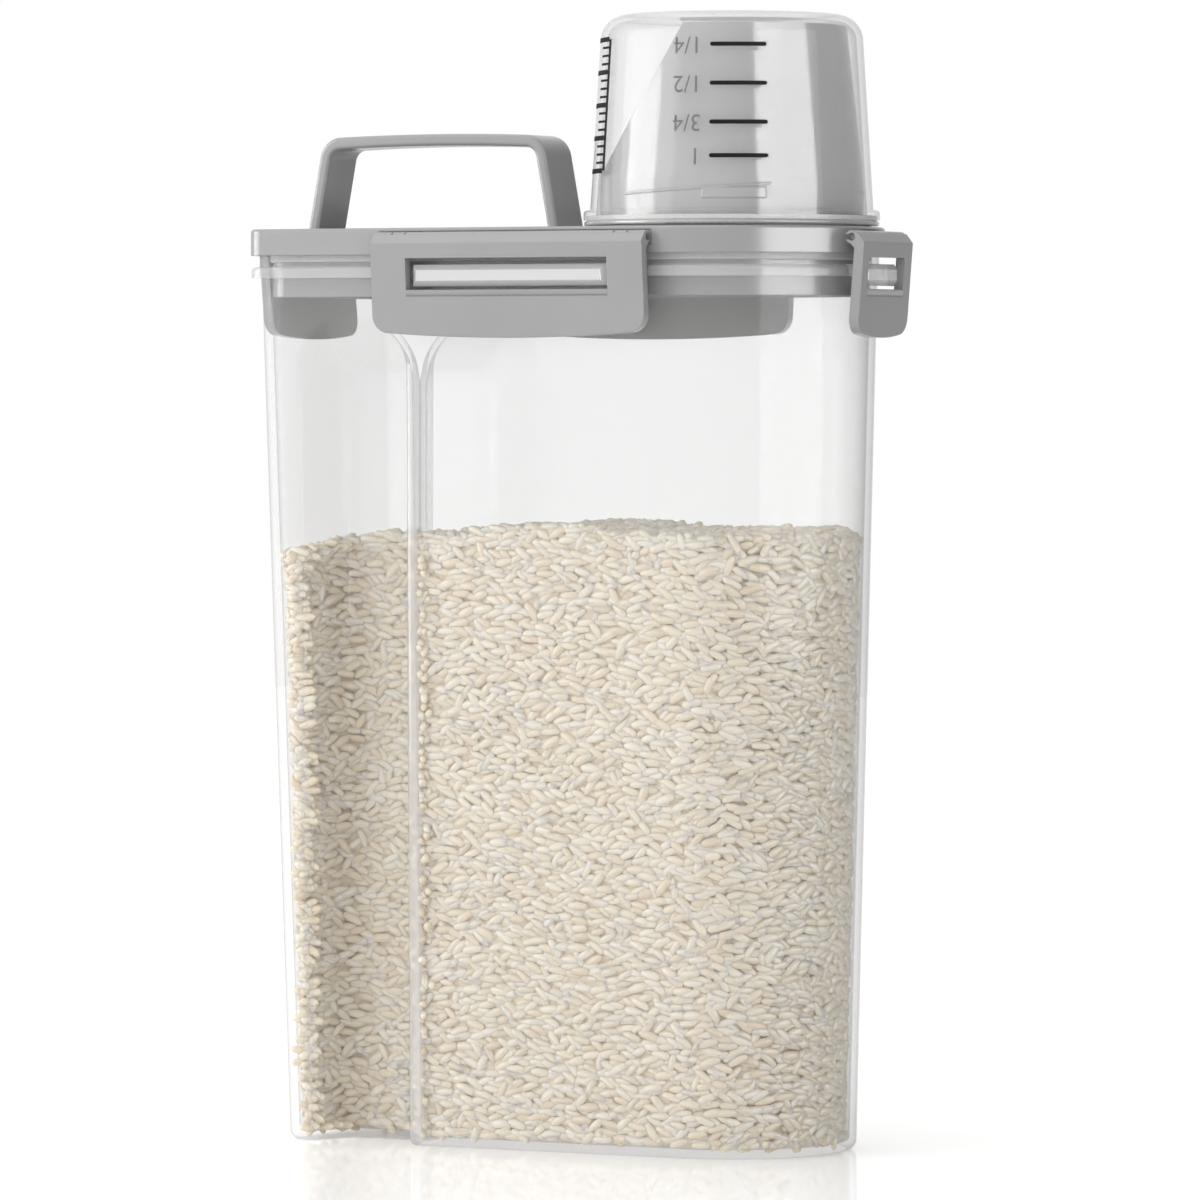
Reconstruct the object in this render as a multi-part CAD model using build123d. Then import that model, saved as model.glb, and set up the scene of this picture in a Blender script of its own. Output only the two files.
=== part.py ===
from build123d import *
import math
import os

# Rice keeper: a clear bullet-shaped container with a clip-on lid, a pouring spout and a measuring cup.
# Frame: X runs along the length with the spout at +X, the front is -Y, Z is up,
# and the origin is the middle of the footprint, on the surface it stands on. All sizes in millimetres.

# Plan of the lid, from which every other outline is an inset
lid_length = 180.0
lid_width = 88.0
lid_corner = 5.0

# Height of the lid's top above the table, and how far below it the container's rim ends
lid_top = 265.0
neck_drop = 4.5
bead_drop = 14.1
bead_height = 3.1

# Container walls, as insets from the lid outline
base_inset = 8.0
shoulder_inset = 2.1
bead_inset = 0.2
neck_inset = 1.6
body_wall = 2.0
base_thickness = 2.6
body_corner = 6.0
base_round = 3.0
bead_round = 1.2

# Grip niches on the two long sides
niche_from_flat_end = 34.0
niche_width = 36.0
niche_drop = 26.0
niche_arch_flat = 6.0
niche_depth = 20.0
niche_side_slope = 20.0
niche_roof_slope = 40.0
niche_floor_round = 5.0
niche_lip_round = 2.0

# Lid walls, with drops below the lid's top
lid_skirt_drop = 7.7
lid_skirt_wall = 1.2
lid_plate = 2.2
lid_edge_round = 1.0
lid_neck_gap = 0.4
plug_gap = 0.5
plug_wall = 1.8
plug_drop = 19.7
seal_drop = 9.6
seal_height = 3.2
seal_groove = 0.6
seal_gap = 0.3
seal_lip_round = 0.5

# Locking clips: lengths along the rim, then the section across it, with drops below the lid's top
long_clip_length = 87.5
long_clip_from_round = 3.85
flat_end_clip_margin = 18.5
round_end_clip_length = 32.5
clip_reach = 5.8
clip_thickness = 3.0
clip_face_drop = 4.6
clip_drop = 29.9
clip_bottom_bow = 1.8
clip_corner_round = 5.0
clip_lean = 4.5
clip_arm = 2.4
clip_top_slope = 2.0
clip_inner_chamfer = 2.0
window_drop = 8.9
window_side = 11.3
end_window_side = 4.2
window_bevel_drop = 2.1

# Catch bars on the container
catch_drop = 16.9
catch_height = 6.2
catch_bite = 2.2
catch_bevel = 1.6
catch_root = 4.2
catch_end_gap = 1.2
catch_lip_gap = 1.0

# Clip hinges on the lid rim
hinge_out = 1.8
hinge_drop = 3.2
hinge_bar_radius = 1.0
hinge_play = 0.08
hinge_knuckle_radius = 1.9
hinge_clearance = 0.25
hinge_mouth = 1.5
hinge_lug_width = 4.0
hinge_lug_from_end = 6.0
hinge_lug_root = 3.0
hinge_web_height = 1.6
hinge_web_drop = 0.3

# Carry handle
handle_start = 1.0
handle_cup_gap = 9.4
handle_rise = 27.2
handle_strap = 17.0
handle_thickness = 3.4
handle_splay = 10.5
handle_bow = 0.8
handle_outer_round = 7.0
handle_edge_round = 1.0
handle_tenon_depth = 4.0
handle_tenon_root = 1.0
handle_tenon_shoulder = 2.0
handle_slot_gap = 0.15

# Measuring cup, upside down over the spout, set in from the round end
cup_rim_inset = 1.4
cup_bead_out = 1.7
cup_taper = 3.6
cup_rise = 61.0
cup_wall = 1.8
cup_round = 7.5
cup_bead_height = 2.9
cup_bead_round = 0.9
cup_seat_gap = 0.2
cup_gasket_inset = 0.8
cup_gasket_width = 1.6
cup_gasket_height = 1.3
cup_gasket_play = 0.08
cup_gasket_crush = 0.15

# Pouring spout inside the cup, with its gaps to the cup's wall
spout_neck_gap = 1.2
spout_neck_rise = 13.7
spout_mouth_gap = 2.5
spout_headroom = 1.5
spout_hole_step = 2.9
spout_hole_gap = 0.3
spout_skirt_depth = 4.6
spout_snap = 0.6
spout_snap_gap = 0.3
spout_wall = 1.8
spout_collar_step = 0.2
spout_collar_height = 1.4
spout_collar_round = 0.6
spout_cut_top = 14.4
spout_cut_slope = 61.5
spout_mouth_turn = 27.3
spout_gasket_height = 0.4
spout_gasket_width = 5.0

# Room for cuts to run past a face, and to tell edges apart
cut_overlap = 1.0
edge_margin = 1.0
tolerance = 0.01

# Places worked out from the sizes
flat_end = -lid_length / 2
round_center = lid_length / 2 - lid_width / 2
neck_top = lid_top - neck_drop
bead_bottom = lid_top - bead_drop
bead_top = bead_bottom + bead_height
niche_top = lid_top - niche_drop
niche_arch_radius = (niche_width - niche_arch_flat) / 2
lid_skirt_bottom = lid_top - lid_skirt_drop
plug_bottom = lid_top - plug_drop
seal_bottom = lid_top - seal_drop
hinge_height = lid_top - hinge_drop
clip_face_top = lid_top - clip_face_drop
clip_bottom = lid_top - clip_drop
window_top = lid_top - window_drop
catch_bottom = lid_top - catch_drop
long_clip_middle = round_center - long_clip_from_round - long_clip_length / 2
flat_end_clip_length = lid_width - 2 * flat_end_clip_margin
cup_bead_radius = lid_width / 2 - cup_rim_inset
cup_base_radius = cup_bead_radius - cup_bead_out
cup_end_radius = cup_base_radius - cup_taper
cup_gasket_inner = cup_base_radius - cup_gasket_inset
cup_top = lid_top + cup_rise
spout_neck_radius = cup_base_radius - cup_wall - spout_neck_gap
spout_neck_top = lid_top + spout_neck_rise
spout_mouth_radius = cup_end_radius - cup_wall - spout_mouth_gap
spout_top = cup_top - cup_wall - spout_headroom
spout_hole_radius = spout_neck_radius - spout_hole_step
spout_collar_radius = cup_bead_radius - spout_collar_step
handle_left = flat_end + handle_start
handle_right = round_center - cup_bead_radius - handle_cup_gap
cavity_inset = shoulder_inset + body_wall
neck_bore_inset = neck_inset + body_wall
plug_inset = cavity_inset + plug_gap
plate_bottom = lid_top - lid_plate
collar_bottom = lid_top + spout_gasket_height
collar_top = collar_bottom + spout_collar_height
cup_bottom = collar_top + cup_seat_gap
through = 2 * lid_length


def plan(inset, corner):
    """Outline of the keeper: flat end with two corners, half round at the spout end."""
    half = lid_width / 2 - inset
    flat = flat_end + inset
    corner_x = flat + corner
    corner_y = half - corner
    return make_face(
        [
            Line((corner_x, -half), (round_center, -half)),
            CenterArc((round_center, 0), half, -90, 180),
            Line((round_center, half), (corner_x, half)),
            CenterArc((corner_x, corner_y), corner, 90, 90),
            Line((flat, corner_y), (flat, -corner_y)),
            CenterArc((corner_x, -corner_y), corner, 180, 90),
        ]
    )


def slab(inset, corner, bottom, top):
    """Straight block of the plan between two heights."""
    return extrude(Pos(0, 0, bottom) * plan(inset, corner), top - bottom)


def drafted(lower_inset, upper_inset, bottom, top):
    """Block of the plan whose walls lean outwards towards the top."""
    lower = Pos(0, 0, bottom) * plan(lower_inset, body_corner)
    upper = Pos(0, 0, top) * plan(upper_inset, body_corner)
    return loft([lower, upper], ruled=True)


def rim_side(name):
    """Frame on one side of the lid's edge, with -Y pointing out and Z still the height."""
    places = {
        "front": Location((long_clip_middle, -lid_width / 2, 0), (0, 0, 0)),
        "rear": Location((long_clip_middle, lid_width / 2, 0), (0, 0, 180)),
        "left": Location((flat_end, 0, 0), (0, 0, -90)),
        "right": Location((lid_length / 2, 0, 0), (0, 0, 90)),
    }
    return places[name]


clip_lengths = {
    "front": long_clip_length,
    "rear": long_clip_length,
    "left": flat_end_clip_length,
    "right": round_end_clip_length,
}
window_lengths = {
    "front": long_clip_length - 2 * window_side,
    "rear": long_clip_length - 2 * window_side,
    "left": flat_end_clip_length - 2 * end_window_side,
    "right": round_end_clip_length - 2 * end_window_side,
}


def along_rim(section, length):
    """Push a section, drawn as (outwards -Y, height Z), along the rim, centred on the side."""
    return extrude(Plane.YZ * section, length / 2, both=True)


def rod(radius, length, out, height):
    """Round bar along the rim."""
    return Pos(0, -out, height) * Rot(0, 90, 0) * Cylinder(radius, length)


def clip_face(height):
    """Distance of a clip's outer face from the lid's edge at a height, with its lean."""
    return clip_reach - (clip_face_top - height) * math.tan(math.radians(clip_lean))


def catch_reach():
    """Distance of a catch bar's outer face from the lid's edge."""
    return clip_face(catch_bottom) - clip_thickness + catch_bite


def lug_places(length):
    """Middles of a clip's hinge lugs along the rim."""
    place = length / 2 - hinge_lug_from_end - hinge_lug_width / 2
    return [-place, place]


def grip_niche(grow):
    """Arched scoop for the fingers in the front wall, grown by a wall for the inside of the container."""
    slope = math.radians(niche_side_slope)
    rise = niche_top + grow
    arch = Pos(flat_end + niche_from_flat_end, 0) * RectangleRounded(
        niche_width + 2 * grow, 2 * rise, niche_arch_radius + grow
    )
    face_y = shoulder_inset - lid_width / 2
    outward = base_inset
    spread = outward * math.tan(slope)
    mouth = offset(arch, spread)
    start = Plane((0, face_y - outward, 0), x_dir=(1, 0, 0), z_dir=(0, 1, 0))
    flipped = start * Rot(180, 0, 0) * mouth
    reach = outward + niche_depth + grow
    scoop = extrude(flipped, reach, dir=(0, 1, 0), taper=niche_side_slope)
    scoop = fillet(scoop.faces().sort_by(Axis.Y)[-1].edges(), niche_floor_round + grow)
    drop = (niche_depth + grow) * math.tan(math.radians(niche_roof_slope))
    floor_y = face_y + niche_depth + grow
    roof = make_face(
        Polyline((face_y, rise), (floor_y, rise - drop), (floor_y, 2 * rise), (face_y, 2 * rise), close=True)
    )
    scoop -= extrude(Plane.YZ * roof, through, both=True)
    roof_edge = scoop.faces().sort_by(Axis.Y)[-1].edges().sort_by(Axis.Z)[-1]
    return fillet(roof_edge, niche_floor_round + grow)


def catch_bar(length):
    """Bar that a clip's window hooks over, bevelled all round so that the clip rides off it."""
    depth = catch_reach() + catch_root
    middle_y = (catch_root - catch_reach()) / 2
    bar = Pos(0, middle_y, catch_bottom + catch_height / 2) * Box(length, depth, catch_height)
    outer = bar.faces().sort_by(Axis.Y)[0]
    return chamfer(outer.edges(), catch_bevel)


def make_container_body():
    """Clear container: drafted bullet with two grip niches, a bead, a neck and four catch bars."""
    mirror_plane = Plane.XZ
    outer_niche = grip_niche(0)
    inner_niche = grip_niche(body_wall)
    outside = drafted(base_inset, shoulder_inset, 0, bead_bottom)
    outside = fillet(outside.faces().sort_by(Axis.Z)[0].edges(), base_round)
    outside -= outer_niche
    outside -= mirror(outer_niche, about=mirror_plane)
    outside = fillet(outside.edges().filter_by(niche_lip_edge), niche_lip_round)

    draft = (base_inset - shoulder_inset) / bead_bottom
    floor_inset = base_inset + body_wall - draft * base_thickness
    inside = drafted(floor_inset, cavity_inset, base_thickness, bead_bottom)
    inside = fillet(inside.faces().sort_by(Axis.Z)[0].edges(), base_round - body_wall)
    inside -= inner_niche
    inside -= mirror(inner_niche, about=mirror_plane)

    bead = slab(bead_inset, lid_corner, bead_bottom, bead_top)
    bead = fillet(bead.faces().sort_by(Axis.Z)[-1].edges(), bead_round)
    neck = slab(neck_inset, body_corner, bead_bottom, neck_top)
    body = outside + bead + neck
    for side, length in window_lengths.items():
        body += rim_side(side) * catch_bar(length - 2 * catch_end_gap)
    body -= inside
    body -= slab(cavity_inset, body_corner, bead_bottom - cut_overlap, bead_top)
    body -= slab(neck_bore_inset, body_corner, bead_bottom + bead_height / 2, neck_top + cut_overlap)
    return body


def niche_lip_edge(edge):
    """True for the edges where a grip niche breaks through the outer wall."""
    middle = edge.position_at(0.5)
    reach = lid_width / 2 - base_inset - edge_margin
    start = flat_end + niche_from_flat_end - niche_width
    end = flat_end + niche_from_flat_end + niche_width
    between = edge_margin < middle.Z < bead_bottom - edge_margin
    return abs(middle.Y) > reach and start < middle.X < end and between


def hinge_bar(side):
    """Round bar on the lid rim with the two lugs that carry it."""
    length = clip_lengths[side]
    web_length = hinge_out + hinge_lug_root
    web_y = hinge_lug_root - web_length / 2
    web_z = hinge_height - hinge_web_drop
    bar = rod(hinge_bar_radius, length - 2 * hinge_lug_from_end, hinge_out, hinge_height)
    for place in lug_places(length):
        bar += Pos(place, 0, 0) * rod(hinge_knuckle_radius, hinge_lug_width, hinge_out, hinge_height)
        bar += Pos(place, web_y, web_z) * Box(hinge_lug_width, web_length, hinge_web_height)
    return rim_side(side) * bar


def make_lid_cover():
    """Grey lid: rim, plate, plug wall with its seal groove, spout hole, handle slots and hinge bars."""
    lid = slab(0, lid_corner, lid_skirt_bottom, lid_top)
    lid = fillet(lid.faces().sort_by(Axis.Z)[-1].edges(), lid_edge_round)
    lid -= slab(lid_skirt_wall, lid_corner, lid_skirt_bottom, neck_top + lid_neck_gap)
    lid += slab(plug_inset, body_corner, plug_bottom, plate_bottom)
    lid -= slab(plug_inset + plug_wall, body_corner, plug_bottom, plate_bottom)
    groove = slab(plug_inset, body_corner, seal_bottom, seal_bottom + seal_height)
    groove -= slab(plug_inset + seal_groove, body_corner, seal_bottom, seal_bottom + seal_height)
    lid -= groove
    lid -= Pos(round_center, 0, lid_top) * Cylinder(spout_hole_radius, 2 * spout_skirt_depth)
    for x in handle_feet():
        slot_length = handle_tenon() + 2 * handle_slot_gap
        slot_width = handle_tenon_width() + 2 * handle_slot_gap
        slot_depth = handle_tenon_depth + handle_slot_gap
        lid -= Pos(x, 0, lid_top) * Box(slot_length, slot_width, 2 * slot_depth)
    for side, length in clip_lengths.items():
        pocket = 2 * (hinge_knuckle_radius + hinge_clearance)
        relief = Pos(0, -hinge_out, hinge_height) * Box(length + 2 * hinge_clearance, pocket, pocket)
        lid -= rim_side(side) * relief
    for side in clip_lengths:
        lid += hinge_bar(side)
    return lid


def make_lid_seal():
    """Soft ring in the plug's groove with a rounded lip close to the neck's bore."""
    top = seal_bottom + seal_height
    ring = slab(neck_bore_inset + seal_gap, body_corner, seal_bottom, top)
    outer = ring.edges().filter_by(lambda edge: abs(edge.position_at(0).Z - edge.position_at(1).Z) < tolerance)
    ring = fillet(outer, seal_lip_round)
    return ring - slab(plug_inset + seal_groove, body_corner, seal_bottom, top)


def clip_section():
    """Section of a clip across the rim: hinge knuckle, arm, sloped shoulder and leaning leg."""
    lean = math.tan(math.radians(clip_lean))
    arm_top = hinge_height + clip_arm / 2
    arm_bottom = hinge_height - clip_arm / 2
    bottom_face = clip_face(clip_bottom - clip_bottom_bow)
    leg_inner = clip_reach - clip_thickness - (clip_face_top - arm_bottom) * lean
    outline = Polyline(
        (-hinge_out, arm_top),
        (-clip_reach + clip_top_slope, arm_top),
        (-clip_reach, clip_face_top),
        (-bottom_face, clip_bottom - clip_bottom_bow),
        (-bottom_face + clip_thickness, clip_bottom - clip_bottom_bow),
        (-leg_inner + clip_inner_chamfer * lean, arm_bottom - clip_inner_chamfer),
        (-leg_inner + clip_inner_chamfer, arm_bottom),
        (-hinge_out, arm_bottom),
        close=True,
    )
    return make_face(outline) + Pos(-hinge_out, hinge_height) * Circle(hinge_knuckle_radius)


def clip_outline(length):
    """Front view of a clip: square top, rounded lower corners and a bowed lower edge."""
    half = length / 2
    top = lid_top
    lower = clip_bottom
    sheet = make_face(
        [
            Line((-half, lower), (-half, top)),
            Line((-half, top), (half, top)),
            Line((half, top), (half, lower)),
            ThreePointArc((half, lower), (0, lower - clip_bottom_bow), (-half, lower)),
        ]
    )
    corners = sheet.vertices().sort_by(Axis.Y)[:2]
    return fillet(corners, clip_corner_round)


def make_clip(side):
    """Locking clip with its window, hinged on a bar of the lid rim."""
    length = clip_lengths[side]
    window = window_lengths[side]
    clip = along_rim(clip_section(), length)
    clip &= extrude(Plane.XZ * clip_outline(length), through, both=True)
    clip = clip.solid()

    lip_top = catch_bottom - catch_lip_gap
    window_height = window_top - lip_top
    middle = Pos(0, -clip_reach, lip_top + window_height / 2)
    clip -= middle * Box(window, 4 * clip_thickness, window_height)
    inner = clip_face(lip_top) - clip_thickness
    outer = clip_face(lip_top - window_bevel_drop)
    bevel = make_face(
        Polyline((-inner, lip_top), (-outer, lip_top - window_bevel_drop), (-outer, lip_top), close=True)
    )
    clip -= along_rim(bevel, window)

    clip -= rod(hinge_bar_radius + hinge_play, length, hinge_out, hinge_height)
    mouth_reach = hinge_knuckle_radius
    clip -= Pos(0, mouth_reach / 2 - hinge_out, hinge_height) * Box(length, mouth_reach, hinge_mouth)
    gap_width = hinge_lug_width + 2 * hinge_clearance
    gap = rod(hinge_knuckle_radius + hinge_clearance, gap_width, hinge_out, hinge_height)
    for place in lug_places(length):
        clip -= Pos(place, 0, 0) * gap
    return rim_side(side) * clip


def handle_feet():
    """Middles of the handle's two feet along the lid."""
    return [handle_left + handle_thickness / 2, handle_right - handle_thickness / 2]


def handle_tenon():
    """Length of a tenon along the lid."""
    return handle_thickness - handle_tenon_shoulder / 2


def handle_tenon_width():
    """Width of a tenon across the lid."""
    return handle_strap - 2 * handle_tenon_shoulder


def arch_face(inset):
    """Side view of the handle's arch, shrunk by an inset."""
    lean = math.tan(math.radians(handle_splay))
    across = inset / math.cos(math.radians(handle_splay))
    top = handle_rise - inset
    shift = top * lean
    left = handle_left + across
    right = handle_right - across
    corner = max(handle_outer_round - inset, handle_edge_round)
    face = make_face(
        [
            Line((left, 0), (left + shift, top)),
            ThreePointArc((left + shift, top), ((left + right) / 2, top + handle_bow), (right - shift, top)),
            Line((right - shift, top), (right, 0)),
            Line((right, 0), (left, 0)),
        ]
    )
    return fillet(face.vertices().sort_by(Axis.Y)[2:], corner)


def make_carry_handle():
    """Fixed arch strap with a tenon under each foot that snaps through the lid."""
    side_view = arch_face(0) - arch_face(handle_thickness)
    strap = extrude(Plane.XZ * side_view, handle_strap / 2, both=True)
    strap = Pos(0, 0, lid_top) * strap
    half = handle_strap / 2
    long_edges = strap.edges().filter_by(lambda edge: abs(abs(edge.position_at(0.5).Y) - half) < tolerance)
    upper_edges = long_edges.filter_by(lambda edge: edge.center().Z > lid_top + edge_margin)
    strap = fillet(upper_edges, handle_edge_round)
    for x in handle_feet():
        tenon = Box(handle_tenon(), handle_tenon_width(), handle_tenon_depth + handle_tenon_root)
        strap += Pos(x, 0, lid_top + (handle_tenon_root - handle_tenon_depth) / 2) * tenon
    return strap


def turned(points):
    """Ring about the spout's axis from a closed profile of (radius, height) points."""
    profile = make_face(Polyline(*points, close=True))
    return Pos(round_center, 0, 0) * revolve(Plane.XZ * profile, Axis.Z)


def make_pour_spout():
    """Grey spout: skirt with a snap bead in the lid's hole, collar, neck and a slanted pouring mouth."""
    skirt = spout_hole_radius - spout_hole_gap
    skirt_bottom = lid_top - spout_skirt_depth
    snap_top = plate_bottom - spout_snap_gap
    bore = skirt - spout_wall
    neck_bore = spout_neck_radius - spout_wall
    spout = turned(
        [
            (bore, skirt_bottom),
            (skirt, skirt_bottom),
            (skirt + spout_snap, snap_top - spout_snap),
            (skirt + spout_snap, snap_top),
            (skirt, snap_top),
            (skirt, collar_bottom),
            (spout_collar_radius, collar_bottom),
            (spout_collar_radius, collar_top),
            (spout_neck_radius, collar_top),
            (spout_neck_radius, spout_neck_top),
            (spout_mouth_radius, spout_top),
            (spout_mouth_radius - spout_wall, spout_top),
            (neck_bore, spout_neck_top),
            (neck_bore, collar_top),
            (bore, collar_bottom),
        ]
    )
    collar_edges = spout.edges().filter_by(GeomType.CIRCLE).filter_by(
        lambda edge: abs(edge.radius - spout_collar_radius) < tolerance
    )
    spout = fillet(collar_edges, spout_collar_round)
    rise = spout_top - spout_neck_top
    foot = -spout_cut_top - rise / math.tan(math.radians(spout_cut_slope))
    slant = make_face(
        Polyline(
            (-spout_cut_top, spout_top + cut_overlap),
            (-spout_cut_top, spout_top),
            (foot, spout_neck_top),
            (-lid_width, spout_neck_top),
            (-lid_width, spout_top + cut_overlap),
            close=True,
        )
    )
    mouth = extrude(Plane.XZ * slant, lid_width, both=True)
    return spout - Pos(round_center, 0, 0) * Rot(0, 0, spout_mouth_turn) * mouth


def make_spout_gasket():
    """Flat soft ring between the spout's collar and the lid."""
    inner = spout_hole_radius
    outer = inner + spout_gasket_width
    return turned([(inner, lid_top), (outer, lid_top), (outer, collar_bottom), (inner, collar_bottom)])


def make_measuring_cup():
    """Clear tapered cup, open side down, with a beaded rim that holds a gasket."""
    outside = turned([(0, cup_bottom), (cup_base_radius, cup_bottom), (cup_end_radius, cup_top), (0, cup_top)])
    outside = fillet(outside.faces().sort_by(Axis.Z)[-1].edges(), cup_round)
    bead = Pos(round_center, 0, cup_bottom + cup_bead_height / 2) * Cylinder(cup_bead_radius, cup_bead_height)
    bead = fillet(bead.faces().sort_by(Axis.Z)[-1].edges(), cup_bead_round)
    hollow_top = cup_top - cup_wall
    hollow = turned(
        [
            (0, cup_bottom),
            (cup_base_radius - cup_wall, cup_bottom),
            (cup_end_radius - cup_wall, hollow_top),
            (0, hollow_top),
        ]
    )
    hollow = fillet(hollow.faces().sort_by(Axis.Z)[-1].edges(), cup_round - cup_wall)
    groove = gasket_ring(cup_gasket_play, cup_bottom, cup_bottom + cup_gasket_height)
    return outside + bead - hollow - groove


def gasket_ring(grow, bottom, top):
    """Ring for the cup's gasket, grown on both sides for its groove."""
    inner = cup_gasket_inner - grow
    outer = cup_gasket_inner + cup_gasket_width + grow
    return turned([(inner, bottom), (outer, bottom), (outer, top), (inner, top)])


def make_cup_gasket():
    """Soft ring in the cup's rim that closes on the spout's collar."""
    bottom = cup_bottom - cup_gasket_crush
    return gasket_ring(0, bottom, bottom + cup_gasket_height)


pieces = {
    "container_body": make_container_body(),
    "lid_cover": make_lid_cover(),
    "lid_seal": make_lid_seal(),
    "front_clip": make_clip("front"),
    "rear_clip": make_clip("rear"),
    "left_clip": make_clip("left"),
    "right_clip": make_clip("right"),
    "carry_handle": make_carry_handle(),
    "pour_spout": make_pour_spout(),
    "spout_gasket": make_spout_gasket(),
    "measuring_cup": make_measuring_cup(),
    "cup_gasket": make_cup_gasket(),
}

os.makedirs("parts", exist_ok=True)
for name, piece in pieces.items():
    export_step(piece, f"parts/{name}.step")
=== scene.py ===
import bpy
import math
import random

import numpy as np
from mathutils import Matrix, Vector
from mathutils.bvhtree import BVHTree


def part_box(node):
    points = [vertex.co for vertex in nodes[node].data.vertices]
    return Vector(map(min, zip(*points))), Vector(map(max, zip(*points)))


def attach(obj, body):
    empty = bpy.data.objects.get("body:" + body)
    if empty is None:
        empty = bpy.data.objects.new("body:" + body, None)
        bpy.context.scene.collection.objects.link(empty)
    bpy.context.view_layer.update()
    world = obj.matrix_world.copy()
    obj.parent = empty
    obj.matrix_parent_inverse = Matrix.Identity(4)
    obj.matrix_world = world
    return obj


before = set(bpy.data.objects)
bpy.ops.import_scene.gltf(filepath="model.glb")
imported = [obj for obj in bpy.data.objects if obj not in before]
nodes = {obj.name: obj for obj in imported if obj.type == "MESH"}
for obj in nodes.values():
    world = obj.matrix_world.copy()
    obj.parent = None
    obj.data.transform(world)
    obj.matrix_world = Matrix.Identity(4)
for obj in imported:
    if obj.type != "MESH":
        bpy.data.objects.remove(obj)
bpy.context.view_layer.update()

MM = 0.001
SEED = 7

# The cup's box and the upright axis that the cup shares with the spout, in metres
cup_low, cup_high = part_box("measuring_cup")
axis_x = (cup_low[0] + cup_high[0]) / 2


# Shader helpers

# Sockets of a Mix node that mixes colours
MIX_FACTOR = 0
MIX_FIRST = 6
MIX_SECOND = 7
MIX_RESULT = 2


def new_material(name):
    """Empty node material with its shader, returned as (material, nodes, links, shader)."""
    mat = bpy.data.materials.new(name)
    mat.use_nodes = True
    tree = mat.node_tree
    tree.nodes.clear()
    out = tree.nodes.new("ShaderNodeOutputMaterial")
    shader = tree.nodes.new("ShaderNodeBsdfPrincipled")
    tree.links.new(shader.outputs["BSDF"], out.inputs["Surface"])
    return mat, tree.nodes, tree.links, shader


def object_noise(tree_nodes, links, scale, detail=3.0, rough=0.5):
    """Noise in the object's own space, so that it stays put when a piece moves."""
    place = tree_nodes.new("ShaderNodeTexCoord")
    noise = tree_nodes.new("ShaderNodeTexNoise")
    noise.inputs["Scale"].default_value = scale
    noise.inputs["Detail"].default_value = detail
    noise.inputs["Roughness"].default_value = rough
    links.new(place.outputs["Object"], noise.inputs["Vector"])
    return noise


def ramp(tree_nodes, links, source, stops):
    """Colour ramp from a value socket, with (position, colour) stops."""
    node = tree_nodes.new("ShaderNodeValToRGB")
    links.new(source, node.inputs["Fac"])
    first, last = stops[0], stops[-1]
    node.color_ramp.elements[0].position = first[0]
    node.color_ramp.elements[0].color = (*first[1], 1.0)
    node.color_ramp.elements[1].position = last[0]
    node.color_ramp.elements[1].color = (*last[1], 1.0)
    for position, colour in stops[1:-1]:
        element = node.color_ramp.elements.new(position)
        element.color = (*colour, 1.0)
    return node


def grey_ramp(tree_nodes, links, source, stops):
    """Colour ramp of plain greys, with (position, grey) stops."""
    return ramp(tree_nodes, links, source, [(position, (grey,) * 3) for position, grey in stops])


def mix_tint(tree_nodes, links, factor, source, tint):
    """A colour socket mixed towards a fixed tint by a factor socket."""
    node = tree_nodes.new("ShaderNodeMix")
    node.data_type = "RGBA"
    links.new(factor, node.inputs[MIX_FACTOR])
    links.new(source, node.inputs[MIX_FIRST])
    node.inputs[MIX_SECOND].default_value = (*tint, 1.0)
    return node.outputs[MIX_RESULT]


def spread(tree_nodes, links, source, low, high, source_range=(0.0, 1.0)):
    """A value socket mapped from a range of its own to low..high."""
    node = tree_nodes.new("ShaderNodeMapRange")
    node.inputs["From Min"].default_value = source_range[0]
    node.inputs["From Max"].default_value = source_range[1]
    node.inputs["To Min"].default_value = low
    node.inputs["To Max"].default_value = high
    links.new(source, node.inputs["Value"])
    return node.outputs["Result"]


def bump(tree_nodes, links, source, shader, strength, distance):
    """Bump from a height socket onto a shader; returns its node."""
    node = tree_nodes.new("ShaderNodeBump")
    node.inputs["Strength"].default_value = strength
    node.inputs["Distance"].default_value = distance
    links.new(source, node.inputs["Height"])
    links.new(node.outputs["Normal"], shader.inputs["Normal"])
    return node


def math_node(tree_nodes, links, operation, first, second):
    """Result of one operation on two sockets, or on a socket and a number."""
    node = tree_nodes.new("ShaderNodeMath")
    node.operation = operation
    for index, value in enumerate((first, second)):
        if isinstance(value, float):
            node.inputs[index].default_value = value
        else:
            links.new(value, node.inputs[index])
    return node.outputs["Value"]


def near(tree_nodes, links, coordinate, middle, reach):
    """One within a reach of a place along a coordinate, otherwise zero."""
    node = tree_nodes.new("ShaderNodeMath")
    node.operation = "COMPARE"
    links.new(coordinate, node.inputs[0])
    node.inputs[1].default_value = middle
    node.inputs[2].default_value = reach
    return node.outputs["Value"]


# Frosting on the clear plastic, and a painted highlight on the front niche's lip, by place in the
# container's own space

SEAL_TO_EDGE = 4.2 * MM
LID_HALF_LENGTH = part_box("lid_seal")[1][0] + SEAL_TO_EDGE
LID_HALF_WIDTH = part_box("lid_seal")[1][1] + SEAL_TO_EDGE
CATCH_FROST = 0.85
BEAD_LEVEL = 252.45 * MM
BEAD_REACH = 1.7 * MM
BEAD_FROST = 0.34
# Place and strength of the painted highlight down the front niche's right lip
LIP_MIDDLE = -38.9 * MM
LIP_REACH = 2.7 * MM
LIP_INSIDE = -34.0 * MM
LIP_TOP = 226.0 * MM
LIP_PAINTED_HIGHLIGHT = 0.42


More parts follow.
